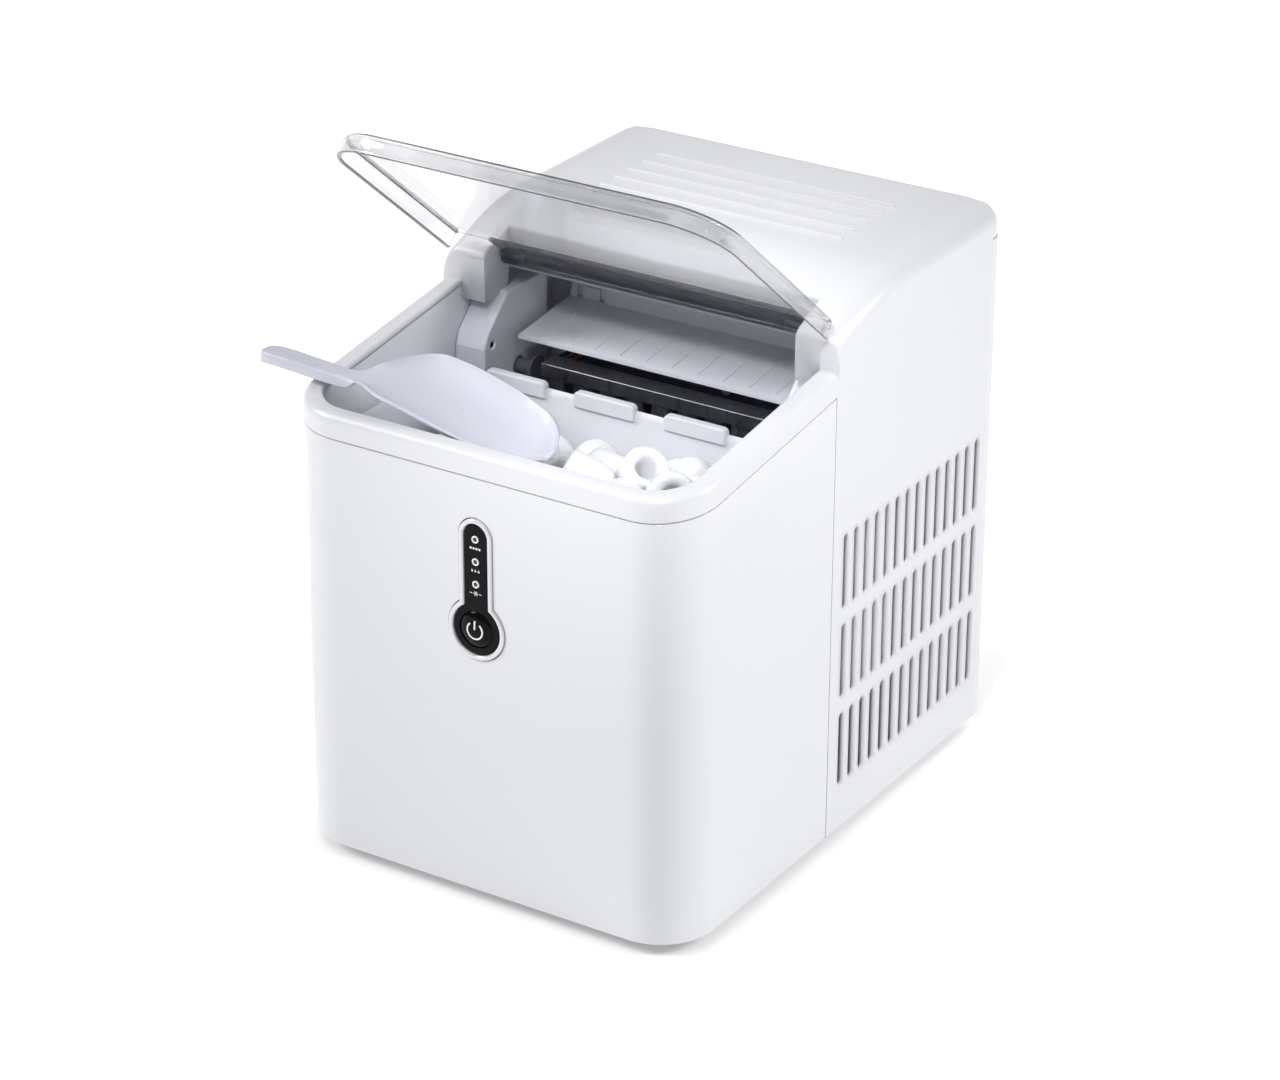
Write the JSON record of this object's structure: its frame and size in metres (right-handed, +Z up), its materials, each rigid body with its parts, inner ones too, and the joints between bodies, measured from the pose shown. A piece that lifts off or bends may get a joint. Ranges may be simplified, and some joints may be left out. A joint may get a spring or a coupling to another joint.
{
  "type": "countertop ice maker",
  "caption": "White countertop ice maker with a sloping rim, a humped hood, an open clear lid, a lift-out frosted ice basket, a scoop and a front console.",
  "frame": {"origin": "centre of the base pan's underside", "axes": "+X to the right as seen from the front, +Y from the front to the back, +Z up"},
  "size_m": [0.248, 0.3054, 0.3606],
  "materials": {
    "front_gloss": "glossy injection-moulded ABS, white",
    "housing_satin": "satin injection-moulded ABS, white",
    "back_white": "fine-grained ABS, white",
    "grey_liner": "fine-grained polypropylene, light grey",
    "dark_plastic": "moulded, black",
    "fascia": "polished black acrylic",
    "bezel": "smooth, white with a silver edge",
    "lens": "clear lens with a white ring",
    "clear_lid": "clear polystyrene, polished",
    "frosted": "frosted polypropylene",
    "scoop_white": "satin polypropylene, white",
    "steel": "zinc-plated steel",
    "enamel": "black enamel on steel",
    "copper": "drawn copper",
    "aluminium": "plain",
    "rubber": "moulded, black",
    "silicone": "translucent silicone",
    "foam": "expanded foam, off-white",
    "board": "green circuit board"
  },
  "bodies": {
    "casing": {"back_panel": "back_white", "back_screw_1": "steel", "back_screw_2": "steel", "back_screw_3": "steel", "back_screw_4": "steel", "base_pan": "dark_plastic", "bin_liner": "grey_liner", "capillary": "copper", "compressor": "enamel", "compressor_mount_1": "rubber", "compressor_mount_2": "rubber", "compressor_mount_3": "rubber", "condenser": "aluminium", "control_bezel": "bezel", "control_fascia": "fascia", "cord_gland": "rubber", "discharge_pipe": "copper", "display_board": "board", "evaporator": "aluminium", "evaporator_guard": "grey_liner", "fan_motor": "steel", "fan_shroud": "dark_plastic", "filter_drier": "copper", "foam_left": "foam", "foam_right": "foam", "foot_1": "rubber", "foot_2": "rubber", "foot_3": "rubber", "foot_4": "rubber", "front_shell": "front_gloss", "hinge_pin_left": "steel", "hinge_pin_right": "steel", "hot_gas_valve": "steel", "ice_sensor_left": "dark_plastic", "ice_sensor_right": "dark_plastic", "indicator_1": "lens", "indicator_2": "lens", "indicator_3": "lens", "left_cheek": "grey_liner", "level_sensor": "dark_plastic", "main_board": "board", "pump_hose": "silicone", "right_cheek": "grey_liner", "suction_pipe": "copper", "tray_motor": "dark_plastic", "upper_housing": "housing_satin", "water_pump": "dark_plastic"},
    "lid": {"lid": "clear_lid"},
    "power_button": {"power_button": "fascia"},
    "water_tray": {"water_tray": "grey_liner"},
    "pusher": {"ice_pusher": "grey_liner"},
    "fan": {"fan_blade": "dark_plastic"},
    "basket": {"ice_basket": "frosted"},
    "scoop": {"scoop": "scoop_white"},
    "drain_plug": {"drain_plug": "rubber"}
  },
  "joints": [
    {"name": "lid_hinge", "type": "hinge", "parent": "casing", "child": "lid", "pos_m": [0, 0.0034, 0.256], "axis": [-1, 0, 0], "range_deg": [-42, 60]},
    {"name": "button_press", "type": "slide", "parent": "casing", "child": "power_button", "axis": [0, 1, 0], "range_m": [0, 0.001], "stiffness_N_per_m": 800, "springref_m": -0.0005},
    {"name": "tray_tip", "type": "hinge", "parent": "casing", "child": "water_tray", "pos_m": [0, 0.0105, 0.196], "axis": [-1, 0, 0], "range_deg": [0, 40]},
    {"name": "pusher_swing", "type": "hinge", "parent": "casing", "child": "pusher", "pos_m": [0, 0.0535, 0.225], "axis": [-1, 0, 0], "range_deg": [-10, 35]},
    {"name": "fan_spin", "type": "hinge", "parent": "casing", "child": "fan", "pos_m": [0.066, 0.0955, 0.092], "axis": [1, 0, 0], "continuous": true},
    {"name": "basket_lift", "type": "slide", "parent": "casing", "child": "basket", "axis": [0, 0, 1], "range_m": [0, 0.045]},
    {"name": "scoop_lift", "type": "slide", "parent": "basket", "child": "scoop", "axis": [0, 0, 1], "range_m": [0, 0.08]},
    {"name": "drain_pull", "type": "slide", "parent": "casing", "child": "drain_plug", "axis": [0, 1, 0], "range_m": [0, 0.02]}
  ],
  "couplings": [
    {"joint": "pusher_swing", "follows": "tray_tip", "ratio": 0.75}
  ]
}
